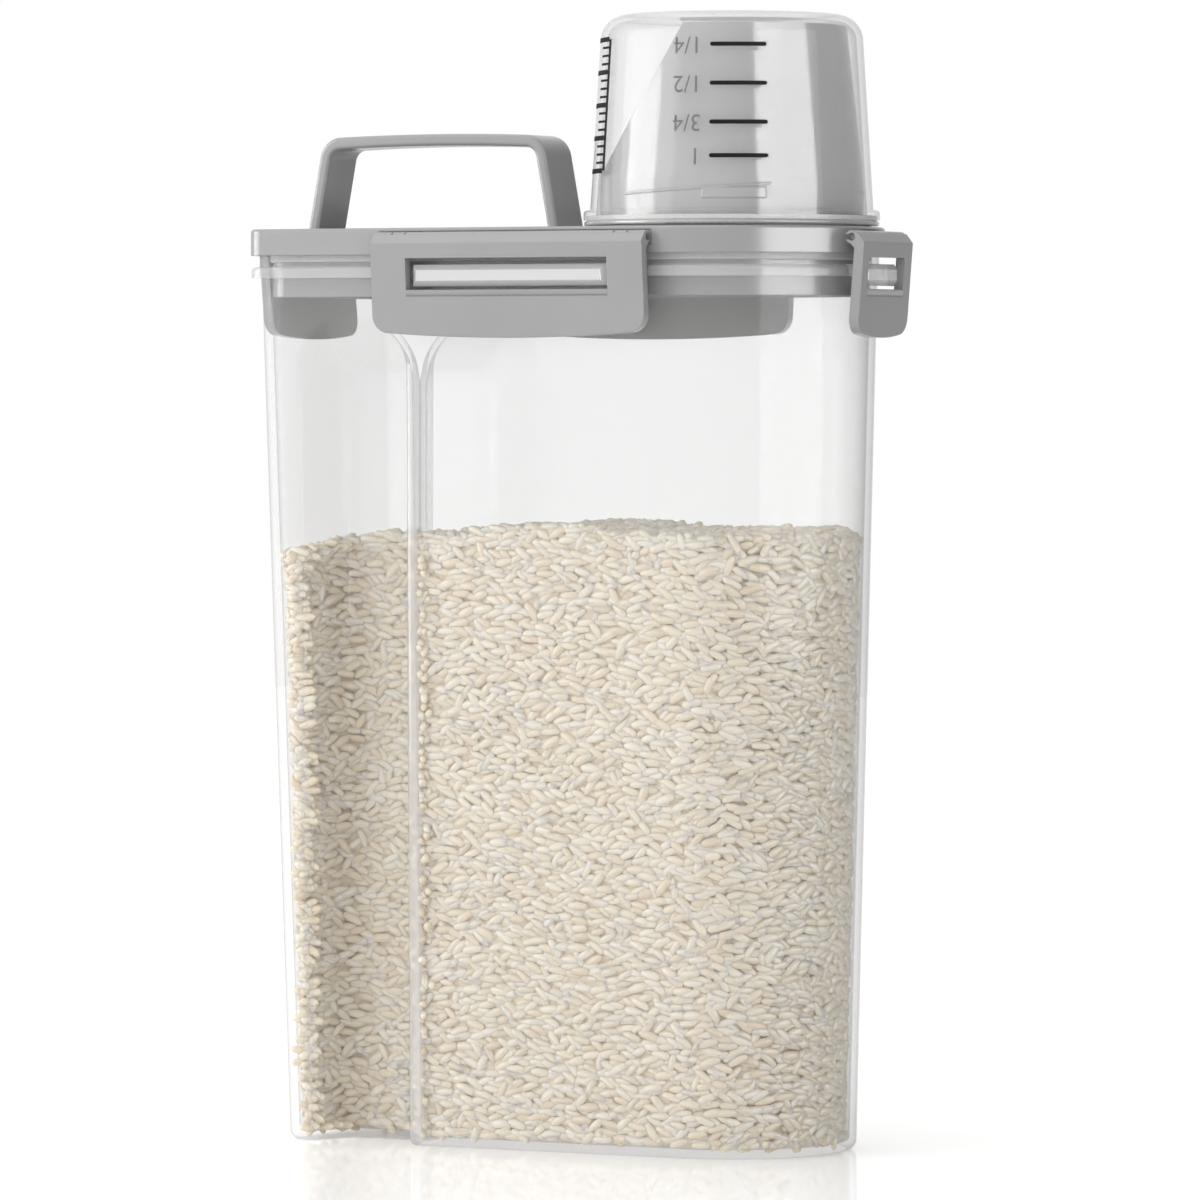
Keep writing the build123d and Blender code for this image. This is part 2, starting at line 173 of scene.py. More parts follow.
def catch_frost(tree_nodes, links, coordinate, limit):
    """Frosting where a coordinate reaches past the lid's edge, which only the catch bars do."""
    size = math_node(tree_nodes, links, "ABSOLUTE", coordinate, 0.0)
    past = math_node(tree_nodes, links, "GREATER_THAN", size, limit)
    return math_node(tree_nodes, links, "MULTIPLY", past, CATCH_FROST)


def bead_frost(tree_nodes, links, axes):
    """Frosting on the bead, where the wall is thick."""
    level = near(tree_nodes, links, axes.outputs["Z"], BEAD_LEVEL, BEAD_REACH)
    return math_node(tree_nodes, links, "MULTIPLY", level, BEAD_FROST)


def lip_painted_highlight(tree_nodes, links, axes):
    """Painted highlight on the front niche's right upright lip: a pale strip that stands in for the
    bright streak down its thick, round wall.
    """
    at_lip = near(tree_nodes, links, axes.outputs["X"], LIP_MIDDLE, LIP_REACH)
    outside = math_node(tree_nodes, links, "LESS_THAN", axes.outputs["Y"], LIP_INSIDE)
    below = math_node(tree_nodes, links, "LESS_THAN", axes.outputs["Z"], LIP_TOP)
    at_lip = math_node(tree_nodes, links, "MULTIPLY", at_lip, outside)
    at_lip = math_node(tree_nodes, links, "MULTIPLY", at_lip, below)
    return math_node(tree_nodes, links, "MULTIPLY", at_lip, LIP_PAINTED_HIGHLIGHT)


def frost_and_painted_highlight(tree_nodes, links):
    """The strongest of the frostings and of the painted lip highlight at each place."""
    place = tree_nodes.new("ShaderNodeTexCoord")
    axes = tree_nodes.new("ShaderNodeSeparateXYZ")
    links.new(place.outputs["Object"], axes.inputs["Vector"])
    frost_and_highlight = catch_frost(tree_nodes, links, axes.outputs["X"], LID_HALF_LENGTH)
    for other in (
        catch_frost(tree_nodes, links, axes.outputs["Y"], LID_HALF_WIDTH),
        bead_frost(tree_nodes, links, axes),
        lip_painted_highlight(tree_nodes, links, axes),
    ):
        frost_and_highlight = math_node(tree_nodes, links, "MAXIMUM", frost_and_highlight, other)
    return frost_and_highlight


# Materials; noise scales are per metre, pairs of roughness are its least and greatest value

PLASTIC_IOR = 1.49
MOULD_CLOUD_SCALE = 35.0
MOULD_TEXTURE_SCALE = 4500.0
MOULD_TEXTURE_STRENGTH = 0.12
MOULD_TEXTURE_HEIGHT = 0.00004
EDGE_ROUND = 0.45 * MM
EDGE_SAMPLES = 3

CLEAR_FLOW_SCALE = 18.0
CLEAR_VEIL_STOPS = [(0.2, 0.84), (0.8, 0.9)]
CLEAR_ROUGHNESS = (0.03, 0.07)
# Facings over which the painted grey edge shade comes in
CLEAR_EDGE_SHADE_RANGE = (0.4, 0.8)
CLEAR_TINT = (0.985, 0.985, 0.985, 1.0)
# Tint of the frosting, also of the painted highlight on the front niche's lip
FROST_AND_HIGHLIGHT_TINT = (0.68, 0.68, 0.69)

SILICONE_DUST_SCALE = 900.0
SILICONE_STOPS = [(0.3, (0.62, 0.62, 0.6)), (0.7, (0.7, 0.7, 0.68))]
SILICONE_ROUGHNESS = (0.45, 0.6)
SILICONE_DUST_STRENGTH = 0.1
SILICONE_DUST_HEIGHT = 0.00005

RICE_STOPS = [
    (0.0, (0.77, 0.64, 0.46)),
    (0.2, (0.85, 0.725, 0.55)),
    (0.6, (0.89, 0.785, 0.625)),
    (1.0, (0.925, 0.845, 0.715)),
]
RICE_CHALK_SCALE = 420.0
RICE_CHALK_SHARE = (0.0, 0.4)
RICE_CHALK_TINT = (0.93, 0.88, 0.79)
RICE_ROUGHNESS = (0.3, 0.5)
RICE_GLOW_WEIGHT = 0.5
RICE_GLOW_RADIUS = (1.0, 0.85, 0.6)
RICE_GLOW_DEPTH = 1.6 * MM
SHADE_SPECKLE_SCALE = 380.0
SHADE_STOPS = [(0.35, (0.8, 0.69, 0.54)), (0.65, (0.88, 0.79, 0.65))]
SHADE_ROUGHNESS = 0.8

INK_WEAR_SCALE = 1500.0
INK_ROUGHNESS = (0.6, 0.75)
INK_SPECULAR = 0.1

FLOOR_CLOUD_SCALE = 2.0
FLOOR_STOPS = [(0.3, 0.9), (0.7, 0.92)]
FLOOR_ROUGHNESS = 0.05
FLOOR_IOR = 1.11
FLOOR_GLOW = 0.16


def grey_plastic(name, dark, light, roughness):
    """Satin grey moulding with a fine spark-eroded texture, between two greys and two roughnesses."""
    mat, tree_nodes, links, shader = new_material(name)
    cloud = object_noise(tree_nodes, links, MOULD_CLOUD_SCALE)
    tint = grey_ramp(tree_nodes, links, cloud.outputs["Fac"], [(0.3, dark), (0.7, light)])
    links.new(tint.outputs["Color"], shader.inputs["Base Color"])
    grain = object_noise(tree_nodes, links, MOULD_TEXTURE_SCALE, detail=2.0)
    gloss = spread(tree_nodes, links, grain.outputs["Fac"], *roughness)
    links.new(gloss, shader.inputs["Roughness"])
    relief = bump(
        tree_nodes, links, grain.outputs["Fac"], shader, MOULD_TEXTURE_STRENGTH, MOULD_TEXTURE_HEIGHT
    )
    edges = tree_nodes.new("ShaderNodeBevel")
    edges.samples = EDGE_SAMPLES
    edges.inputs["Radius"].default_value = EDGE_ROUND
    links.new(edges.outputs["Normal"], relief.inputs["Normal"])
    shader.inputs["IOR"].default_value = PLASTIC_IOR
    return mat


def clear_plastic(name, haze, edge_shade):
    """Clear polished moulding: a pale veil with painted grey shade towards its edges, frosted where it is
    thick, and a painted highlight on the front niche's lip.
    """
    mat, tree_nodes, links, shader = new_material(name)
    flow = object_noise(tree_nodes, links, CLEAR_FLOW_SCALE, detail=2.0)
    veil = grey_ramp(tree_nodes, links, flow.outputs["Fac"], CLEAR_VEIL_STOPS)
    gloss = spread(tree_nodes, links, flow.outputs["Fac"], *CLEAR_ROUGHNESS)
    links.new(gloss, shader.inputs["Roughness"])
    shader.inputs["IOR"].default_value = PLASTIC_IOR

    edge = tree_nodes.new("ShaderNodeLayerWeight")
    edge.inputs["Blend"].default_value = 0.5
    facing = edge.outputs["Facing"]
    film_stops = [(0.0, haze), (0.35, 1.2 * haze), (0.55, 1.9 * haze), (0.78, 0.34), (1.0, 0.95)]
    body = grey_ramp(tree_nodes, links, facing, film_stops)
    # Painted shade: the tint greys towards the edges, where the wall turns away from the view
    rim = spread(tree_nodes, links, facing, 0.0, 1.0, CLEAR_EDGE_SHADE_RANGE)
    tint = mix_tint(tree_nodes, links, rim, veil.outputs["Color"], (edge_shade,) * 3)
    # Frosting, and the painted highlight on the front niche's lip
    frost_and_highlight = frost_and_painted_highlight(tree_nodes, links)
    tint = mix_tint(tree_nodes, links, frost_and_highlight, tint, FROST_AND_HIGHLIGHT_TINT)
    links.new(tint, shader.inputs["Base Color"])

    clear = tree_nodes.new("ShaderNodeBsdfTransparent")
    clear.inputs["Color"].default_value = CLEAR_TINT
    film = math_node(tree_nodes, links, "MAXIMUM", body.outputs["Color"], frost_and_highlight)
    mix = tree_nodes.new("ShaderNodeMixShader")
    links.new(film, mix.inputs["Fac"])
    links.new(clear.outputs["BSDF"], mix.inputs[1])
    links.new(shader.outputs["BSDF"], mix.inputs[2])
    out = next(n for n in tree_nodes if n.type == "OUTPUT_MATERIAL")
    links.new(mix.outputs["Shader"], out.inputs["Surface"])
    return mat


def silicone():
    """Pale soft seal with a dusty surface."""
    mat, tree_nodes, links, shader = new_material("silicone")
    dust = object_noise(tree_nodes, links, SILICONE_DUST_SCALE, detail=4.0)
    tint = ramp(tree_nodes, links, dust.outputs["Fac"], SILICONE_STOPS)
    links.new(tint.outputs["Color"], shader.inputs["Base Color"])
    gloss = spread(tree_nodes, links, dust.outputs["Fac"], *SILICONE_ROUGHNESS)
    links.new(gloss, shader.inputs["Roughness"])
    bump(tree_nodes, links, dust.outputs["Fac"], shader, SILICONE_DUST_STRENGTH, SILICONE_DUST_HEIGHT)
    return mat


def rice_grain():
    """Polished long-grain rice: cream, each grain its own tone, chalky in places."""
    mat, tree_nodes, links, shader = new_material("rice_grain")
    geometry = tree_nodes.new("ShaderNodeNewGeometry")
    tone = ramp(tree_nodes, links, geometry.outputs["Random Per Island"], RICE_STOPS)
    chalk = object_noise(tree_nodes, links, RICE_CHALK_SCALE, detail=2.0)
    share = spread(tree_nodes, links, chalk.outputs["Fac"], *RICE_CHALK_SHARE)
    tint = mix_tint(tree_nodes, links, share, tone.outputs["Color"], RICE_CHALK_TINT)
    links.new(tint, shader.inputs["Base Color"])
    gloss = spread(tree_nodes, links, chalk.outputs["Fac"], *RICE_ROUGHNESS)
    links.new(gloss, shader.inputs["Roughness"])
    shader.inputs["Subsurface Weight"].default_value = RICE_GLOW_WEIGHT
    shader.inputs["Subsurface Radius"].default_value = RICE_GLOW_RADIUS
    shader.inputs["Subsurface Scale"].default_value = RICE_GLOW_DEPTH
    return mat


def rice_shade():
    """Shaded rice deep between the grains."""
    mat, tree_nodes, links, shader = new_material("rice_shade")
    speckle = object_noise(tree_nodes, links, SHADE_SPECKLE_SCALE)
    tint = ramp(tree_nodes, links, speckle.outputs["Fac"], SHADE_STOPS)
    links.new(tint.outputs["Color"], shader.inputs["Base Color"])
    shader.inputs["Roughness"].default_value = SHADE_ROUGHNESS
    return mat


def printed_ink(name, dark, light):
    """Screen print on the cup, slightly worn."""
    mat, tree_nodes, links, shader = new_material(name)
    wear = object_noise(tree_nodes, links, INK_WEAR_SCALE)
    tint = grey_ramp(tree_nodes, links, wear.outputs["Fac"], [(0.3, dark), (0.75, light)])
    links.new(tint.outputs["Color"], shader.inputs["Base Color"])
    gloss = spread(tree_nodes, links, wear.outputs["Fac"], *INK_ROUGHNESS)
    links.new(gloss, shader.inputs["Roughness"])
    shader.inputs["Specular IOR Level"].default_value = INK_SPECULAR
    return mat


def floor_paper():
    """Plain pale studio floor with a faint mirror image."""
    mat, tree_nodes, links, shader = new_material("studio_floor")
    cloud = object_noise(tree_nodes, links, FLOOR_CLOUD_SCALE)
    tint = grey_ramp(tree_nodes, links, cloud.outputs["Fac"], FLOOR_STOPS)
    links.new(tint.outputs["Color"], shader.inputs["Base Color"])
    shader.inputs["Roughness"].default_value = FLOOR_ROUGHNESS
    shader.inputs["IOR"].default_value = FLOOR_IOR
    shader.inputs["Emission Color"].default_value = (1.0, 1.0, 1.0, 1.0)
    shader.inputs["Emission Strength"].default_value = FLOOR_GLOW
    return mat


GREY = grey_plastic("grey_plastic", dark=0.31, light=0.332, roughness=(0.2, 0.28))
# Spout and thread: the lid's grey plastic painted lighter, a painted highlight for the glare of the clear
# cup over them
SPOUT_GLARE_GREY = grey_plastic("spout_plastic_painted_glare", dark=0.45, light=0.48, roughness=(0.08, 0.12))
# The second grey of each clear plastic is the painted shade at its edges
CLEAR = clear_plastic("clear_plastic", haze=0.075, edge_shade=0.4)
CUP_CLEAR = clear_plastic("cup_plastic", haze=0.075, edge_shade=0.6)
SOFT = silicone()
RICE = rice_grain()
SHADE = rice_shade()
BLACK_INK = printed_ink("black_ink", dark=0.004, light=0.012)
GREY_INK = printed_ink("grey_ink", dark=0.17, light=0.23)

NODE_MATERIALS = {
    "container_body": CLEAR,
    "measuring_cup": CUP_CLEAR,
    "lid_cover": GREY,
    "front_clip": GREY,
    "rear_clip": GREY,
    "left_clip": GREY,
    "right_clip": GREY,
    "carry_handle": GREY,
    "pour_spout": SPOUT_GLARE_GREY,
    "lid_seal": SOFT,
    "spout_gasket": SOFT,
    "cup_gasket": SOFT,
}
for node_name, material in NODE_MATERIALS.items():
    nodes[node_name].data.materials.clear()
    nodes[node_name].data.materials.append(material)


# Mesh helpers

def add_piece(name, verts, faces, material, body, slot=None, smooth=True):
    """Mesh piece in the part's frame that rides on a body."""
    mesh = bpy.data.meshes.new(name)
    mesh.from_pydata([tuple(v) for v in verts], [], faces)
    mesh.update()
    mesh.materials.append(material)
    if smooth:
        mesh.polygons.foreach_set("use_smooth", [True] * len(mesh.polygons))
    piece = bpy.data.objects.new(name, mesh)
    bpy.context.scene.collection.objects.link(piece)
    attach(piece, body)
    return piece


def joined(patches):
    """Several (vertices, faces) patches as one."""
    verts = []
    faces = []
    for patch_verts, patch_faces in patches:
        shift = len(verts)
        verts += patch_verts
        faces += [tuple(v + shift for v in face) for face in patch_faces]
    return verts, faces


# Rice inside the container

GRAIN_LENGTH = 6.9 * MM
GRAIN_WIDTH = 2.75 * MM
GRAIN_SIDES = 6
GRAIN_RINGS = 4
GRAIN_FIRST_RING = 0.55
GRAIN_RING_SHARES = GRAIN_RINGS + 0.1
GRAIN_BLUNTNESS = 3.2
GRAIN_BEND = 0.08
GRAIN_FLATNESS = 0.86
GRAIN_ROLL = 0.6
GRAIN_SIZES = (0.88, 1.08)
GRAIN_GIRTHS = (0.92, 1.06)
GRAIN_WALL_GAP = 0.25 * MM
BASE_THICKNESS = 2.6 * MM
RICE_CREST = 178.0 * MM
RICE_SAG = 5.0 * MM
MOUND_MIDDLE_X = 0.02
MOUND_REACH_X = 0.09
RIPPLE_ALONG = 0.9 * MM
RIPPLE_ALONG_RATE = 95.0
RIPPLE_ALONG_START = 1.0
RIPPLE_ACROSS = 0.8 * MM
RIPPLE_ACROSS_RATE = 120.0
RIPPLE_SKEW_RATE = 40.0
FULL_TRIES = 90000
FACES_PER_PIECE = 150000

# Where grains lie against the walls
WALL_STEEPNESS = 0.7
WALL_TOP_MARGIN = 0.5 * MM
WALL_BASE_MARGIN = 0.6 * MM
WALL_TURN = math.radians(26)
WALL_TIP_REACH = 0.42

# Where grains lie on a level
LEVEL_ENDS_X = (-0.082, 0.085)
LEVEL_LEAST_WIDTH = 3 * MM
LEVEL_SIDE_ROOM = 1.6 * MM
LEVEL_END_ROOM = 2.0 * MM
LEVEL_SPREAD_MM = (-0.9, 0.5)
SECOND_LAYER_DEPTH = 1.8 * MM
BASE_LAYER_HEIGHT = 1.9 * MM

inner_wall = BVHTree.FromPolygons(
    [v.co.copy() for v in nodes["container_body"].data.vertices],
    [tuple(p.vertices) for p in nodes["container_body"].data.polygons],
)


def rice_top(x, y):
    """Height of the rice: a low mound with a few hollows left by pouring."""
    mound = RICE_CREST - RICE_SAG * ((x - MOUND_MIDDLE_X) / MOUND_REACH_X) ** 2
    along = RIPPLE_ALONG * math.sin(x * RIPPLE_ALONG_RATE + RIPPLE_ALONG_START)
    across = RIPPLE_ACROSS * math.sin(y * RIPPLE_ACROSS_RATE + x * RIPPLE_SKEW_RATE)
    return mound + (along + across)


def second_layer(x, y):
    """Height of the grains just under the top ones."""
    return rice_top(x, y) - SECOND_LAYER_DEPTH


def base_layer(_x, _y):
    """Height of the grains on the container's base."""
    return BASE_THICKNESS + BASE_LAYER_HEIGHT


def grain_template():
    """One grain along X: a slim barrel with blunt ends, slightly flattened and bent."""
    verts = [(-0.5 * GRAIN_LENGTH, 0.0, 0.0)]
    for ring in range(GRAIN_RINGS):
        along = -0.5 + (ring + GRAIN_FIRST_RING) / GRAIN_RING_SHARES
        radius = 0.5 * GRAIN_WIDTH * (1 - abs(2 * along) ** GRAIN_BLUNTNESS) ** 0.5
        bend = GRAIN_BEND * GRAIN_WIDTH * (1 - (2 * along) ** 2)
        for side in range(GRAIN_SIDES):
            turn = 2 * math.pi * side / GRAIN_SIDES
            across = radius * math.cos(turn) + bend
            verts.append((along * GRAIN_LENGTH, across, GRAIN_FLATNESS * radius * math.sin(turn)))
    verts.append((0.5 * GRAIN_LENGTH, 0.0, 0.0))
    faces = []
    last = len(verts) - 1
    for side in range(GRAIN_SIDES):
        step = (side + 1) % GRAIN_SIDES
        faces.append((0, 1 + step, 1 + side))
        for ring in range(GRAIN_RINGS - 1):
            low = 1 + ring * GRAIN_SIDES
            high = low + GRAIN_SIDES
            faces.append((low + side, low + step, high + step, high + side))
        end = 1 + (GRAIN_RINGS - 1) * GRAIN_SIDES
        faces.append((end + side, end + step, last))
    return np.array(verts), faces


class Spacer:
    """Keeps points at least a distance apart, with a hashed grid."""

    def __init__(self, distance):
        self.distance = distance
        self.cells = {}

    def accepts(self, point):
        """Whether no kept point is too near; if so, this point is kept too."""
        key = tuple(int(math.floor(c / self.distance)) for c in point)
        for dx in (-1, 0, 1):
            for dy in (-1, 0, 1):
                for dz in (-1, 0, 1):
                    for other in self.cells.get((key[0] + dx, key[1] + dy, key[2] + dz), ()):
                        if (other - point).length < self.distance:
                            return False
        self.cells.setdefault(key, []).append(point)
        return True


def is_inside(point):
    """Whether walls stand round a point on all four sides."""
    sides = (Vector((1, 0, 0)), Vector((-1, 0, 0)), Vector((0, 1, 0)), Vector((0, -1, 0)))
    return all(inner_wall.ray_cast(point, side)[0] is not None for side in sides)


def wall_triangles():
    """Triangles of the container's inner walls below the rice: (corners, inward normal, area) of each."""
    mesh = nodes["container_body"].data
    mesh.calc_loop_triangles()
    found = []
    for triangle in mesh.loop_triangles:
        corners = [mesh.vertices[index].co.copy() for index in triangle.vertices]
        middle = sum(corners, Vector()) / 3
        normal = triangle.normal.copy()
        if abs(normal.z) > WALL_STEEPNESS or min(corner.z for corner in corners) > RICE_CREST:
            continue
        if middle.z < BASE_THICKNESS or not is_inside(middle + normal * GRAIN_WALL_GAP):
            continue
        found.append((corners, normal, triangle.area))
    return found


def wall_grains(rng, tries, spacing, depth_low, depth_high, lean):
    """Grains lying against the inside of the walls: (middle, direction, normal) of each."""
    spacer = Spacer(spacing)
    triangles = wall_triangles()
    areas = [area for _, _, area in triangles]
    found = []
    for corners, inward, _ in rng.choices(triangles, areas, k=tries):
        share = math.sqrt(rng.random())
        slide = rng.random()
        hit = corners[0] * (1 - share) + (corners[1] * (1 - slide) + corners[2] * slide) * share
        if hit.z > rice_top(hit.x, hit.y) - WALL_TOP_MARGIN:
            continue
        if hit.z < BASE_THICKNESS + WALL_BASE_MARGIN or not spacer.accepts(hit):
            continue
        tangent = Vector((0, 0, 1)).cross(inward).normalized()
        up = inward.cross(tangent)
        angle = rng.gauss(0, WALL_TURN)
        tip = rng.gauss(0, math.radians(lean))
        level = tangent * math.cos(angle) + up * math.sin(angle)
        direction = level * math.cos(tip) + inward * math.sin(tip)
        tip_reach = WALL_TIP_REACH * GRAIN_LENGTH * abs(math.sin(tip))
        reach = 0.5 * GRAIN_WIDTH + tip_reach + GRAIN_WALL_GAP
        middle = hit + inward * (reach + rng.uniform(depth_low, depth_high))
        found.append((middle, direction, inward))
    return found


def flat_grains(rng, tries, spacing, height, lean):
    """Grains lying on a level: the top of the rice or the base of the container."""
    spacer = Spacer(spacing)
    found = []
    for _ in range(tries):
        x = rng.uniform(*LEVEL_ENDS_X)
        z = height(x, 0.0)
        side = rng.choice((-1.0, 1.0))
        hit, _, _, _ = inner_wall.ray_cast(Vector((x, 0, z)), Vector((0, side, 0)))
        if hit is None or abs(hit.y) < LEVEL_LEAST_WIDTH:
            continue
        y = side * rng.uniform(0, abs(hit.y) - LEVEL_SIDE_ROOM)
        outward = Vector((1 if x > 0 else -1, 0, 0))
        end, _, _, _ = inner_wall.ray_cast(Vector((x, y, z)), outward)
        if end is None or abs(end.x - x) < LEVEL_END_ROOM:
            continue
        point = Vector((x, y, height(x, y) + rng.uniform(*LEVEL_SPREAD_MM) * MM))
        if not spacer.accepts(point):
            continue
        turn = rng.uniform(0, 2 * math.pi)
        room_aside = abs(hit.y) - abs(y)
        room_ahead = abs(end.x - x)
        tip = rng.gauss(0, math.radians(lean))
        if min(room_aside, room_ahead) < 0.5 * GRAIN_LENGTH:
            turn = 0.0 if room_aside < room_ahead else math.pi / 2
        flat = math.cos(tip)
        direction = Vector((math.cos(turn) * flat, math.sin(turn) * flat, math.sin(tip)))
        found.append((point, direction, Vector((0, 0, 1))))
    return found


def place_grains(rng, grains):
    """Vertices of all grains, shape (count, vertices per grain, 3)."""
    template, _ = grain_template()
    placed = np.empty((len(grains), len(template), 3))
    for index, (middle, direction, normal) in enumerate(grains):
        along = direction.normalized()
        side = normal.cross(along).normalized()
        up = along.cross(side)
        roll = rng.uniform(-GRAIN_ROLL, GRAIN_ROLL)
        bent = side * math.cos(roll) + up * math.sin(roll)
        flat = along.cross(bent)
        size = rng.uniform(*GRAIN_SIZES)
        girth = size * rng.uniform(*GRAIN_GIRTHS)
        basis = np.array([along * size, bent * girth, flat * girth])
        placed[index] = template @ basis + np.array(middle)
    return placed


def add_rice():
    """Grains along the walls, base and top, over a shaded core."""
    rng = random.Random(SEED)
    tries = FULL_TRIES
    grains = wall_grains(rng, tries, spacing=1.9 * MM, depth_low=0.0, depth_high=0.9 * MM, lean=7.0)
    grains += wall_grains(
        rng, tries // 2, spacing=2.9 * MM, depth_low=1.2 * MM, depth_high=2.0 * MM, lean=14.0
    )
    grains += flat_grains(rng, tries // 4, spacing=2.3 * MM, height=rice_top, lean=13.0)
    grains += flat_grains(rng, tries // 8, spacing=2.9 * MM, height=second_layer, lean=20.0)
    grains += flat_grains(rng, tries // 8, spacing=2.8 * MM, height=base_layer, lean=3.0)
    placed = place_grains(rng, grains)
    _, faces = grain_template()
    per_piece = FACES_PER_PIECE // len(faces)
    for start in range(0, len(placed), per_piece):
        verts, all_faces = joined((grain.tolist(), faces) for grain in placed[start : start + per_piece])
        add_piece(f"rice_{start // per_piece + 1}", verts, all_faces, RICE, "container")


CORE_COLUMNS = 120
CORE_STEP_Z = 6.0 * MM
CORE_INSET = 2.6 * MM
CORE_ASIDE = 0.9 * CORE_INSET
CORE_LEAST_WIDTH = 0.2 * MM
CORE_BASE_GAP = 2.5 * MM
CORE_TOP_GAP = 12 * MM
CORE_COVER = 2.4 * MM


def core_width(x, z, side):
    """Half width of the core at a place along the container, kept back from walls beside it too."""
    widths = []
    for aside in (-CORE_ASIDE, 0.0, CORE_ASIDE):
        hit, _, _, _ = inner_wall.ray_cast(Vector((x + aside, 0, z)), Vector((0, side, 0)))
        widths.append(abs(hit.y) - CORE_INSET if hit else 0.0)
    return max(min(widths), CORE_LEAST_WIDTH)


def core_ends(z):
    """Where the core starts and ends along the container at a height."""
    ends = []
    for side in (-1.0, 1.0):
        hit, _, _, _ = inner_wall.ray_cast(Vector((0, 0, z)), Vector((side, 0, 0)))
        ends.append(hit.x - side * CORE_INSET)
    return ends


def add_rice_core():
    """Closed core just behind the outer grains, so that no gap shows through the heap."""
    lower = np.arange(BASE_THICKNESS + CORE_BASE_GAP, RICE_CREST - CORE_TOP_GAP, CORE_STEP_Z)
    levels = np.append(lower, RICE_CREST)
    verts = []
    for level in levels:
        for side in (-1.0, 1.0):
            for x in np.linspace(*core_ends(level), CORE_COLUMNS):
                z = min(level, rice_top(x, 0) - CORE_COVER)
                verts.append((x, side * core_width(x, z, side), z))
    row = 2 * CORE_COLUMNS
    faces = []
    for level in range(len(levels) - 1):
        base = level * row
        far = base + CORE_COLUMNS
        for i in range(CORE_COLUMNS - 1):
            faces.append((base + i, base + i + 1, base + row + i + 1, base + row + i))
            faces.append((far + i + 1, far + i, far + row + i, far + row + i + 1))
        faces.append((far, base, base + row, far + row))
        faces.append((far - 1, far + CORE_COLUMNS - 1, far + row + CORE_COLUMNS - 1, far + row - 1))
    top = (len(levels) - 1) * row
    for i in range(CORE_COLUMNS - 1):
        faces.append((top + i, top + i + 1, top + CORE_COLUMNS + i + 1, top + CORE_COLUMNS + i))
        faces.append((i + 1, i, CORE_COLUMNS + i, CORE_COLUMNS + i + 1))
    add_piece("rice_core", verts, faces, SHADE, "container", smooth=False)


# Printed marks on the measuring cup

CUP_WALL_OUT = 0.06 * MM
CUP_BASE_RADIUS = 40.9 * MM
CUP_END_RADIUS = 37.3 * MM
CUP_BASE_Z = cup_low[2]
CUP_TOP_Z = cup_high[2]
MARK_HEIGHTS = {"1/4": 316.2 * MM, "1/2": 305.2 * MM, "3/4": 294.2 * MM, "1": 284.7 * MM}
MARK_THICKNESS = 1.2 * MM
MARK_TURNS = (math.radians(-73.0), math.radians(-48.6))
LABEL_TURN = math.radians(-76.3)
LABEL_SIZE = 6.8 * MM
RULER_TURN = math.radians(-131.0)
RULER_LOW = 281.0 * MM
RULER_HIGH = 318.5 * MM
RULER_TICKS = 17
RULER_LONG_EVERY = 4
RULER_SPINE = math.radians(2.4)

# Turn and half thickness of the ruler's ticks
RULER_LONG_TICK = (math.radians(20.0), 0.7 * MM)
RULER_SHORT_TICK = (math.radians(9.0), 0.35 * MM)


def cup_radius(z):
    """Outer radius of the cup at a height."""
    share = (z - CUP_BASE_Z) / (CUP_TOP_Z - CUP_BASE_Z)
    return CUP_BASE_RADIUS + (CUP_END_RADIUS - CUP_BASE_RADIUS) * share


def on_cup(turn, z):
    """Point on the print layer of the cup."""
    radius = cup_radius(z) + CUP_WALL_OUT
    return (axis_x + radius * math.cos(turn), radius * math.sin(turn), z)


def strip_faces(columns):
    """Faces of a strip with a lower and an upper row of points."""
    return [(i, i + 1, columns + i + 1, columns + i) for i in range(columns - 1)]


def cup_patch(turn_low, turn_high, z_low, z_high, columns):
    """Thin printed patch that follows the cup."""
    turns = np.linspace(turn_low, turn_high, columns)
    verts = [on_cup(turn, z) for z in (z_low, z_high) for turn in turns]
    return verts, strip_faces(columns)


def cup_bar(turn_low, turn_high, z, half, columns=33):
    """Printed bar with round ends."""
    middle = (turn_low + turn_high) / 2
    reach = (turn_high - turn_low) / 2
    straight = reach - half / cup_radius(z)
    turns = -reach * np.cos(np.linspace(0, math.pi, columns))
    ends = np.clip((np.abs(turns) - straight) / (reach - straight), 0, 1)
    halves = half * np.sqrt(1 - ends**2)
    verts = [
        on_cup(middle + turn, z + side * tall) for side in (-1, 1) for turn, tall in zip(turns, halves)
    ]
    return verts, strip_faces(columns)


def label_patch(text, turn, z):
    """Upside-down label wrapped on the cup, because the cup stands on its rim."""
    curve = bpy.data.curves.new(f"label_curve_{z:.4f}", "FONT")
    curve.body = text
    curve.size = LABEL_SIZE
    curve.align_x = "LEFT"
    curve.align_y = "CENTER"
    flat = bpy.data.objects.new(curve.name, curve)
    bpy.context.scene.collection.objects.link(flat)
    bpy.context.view_layer.update()
    depsgraph = bpy.context.evaluated_depsgraph_get()
    mesh = bpy.data.meshes.new_from_object(flat.evaluated_get(depsgraph))
    verts = [on_cup(turn - v.co.x / cup_radius(z), z - v.co.y) for v in mesh.vertices]
    faces = [tuple(p.vertices) for p in mesh.polygons]
    bpy.data.objects.remove(flat)
    return verts, faces


def ruler_patches():
    """Ticks of the ruler and the spine that they stand on."""
    patches = []
    for index in range(RULER_TICKS):
        z = RULER_LOW + (RULER_HIGH - RULER_LOW) * index / (RULER_TICKS - 1)
        width, half = RULER_LONG_TICK if index % RULER_LONG_EVERY == 0 else RULER_SHORT_TICK
        patches.append(cup_patch(RULER_TURN - width, RULER_TURN, z - half, z + half, columns=6))
    spine = cup_patch(RULER_TURN, RULER_TURN + RULER_SPINE, RULER_LOW, RULER_HIGH, columns=3)
    return patches + [spine]


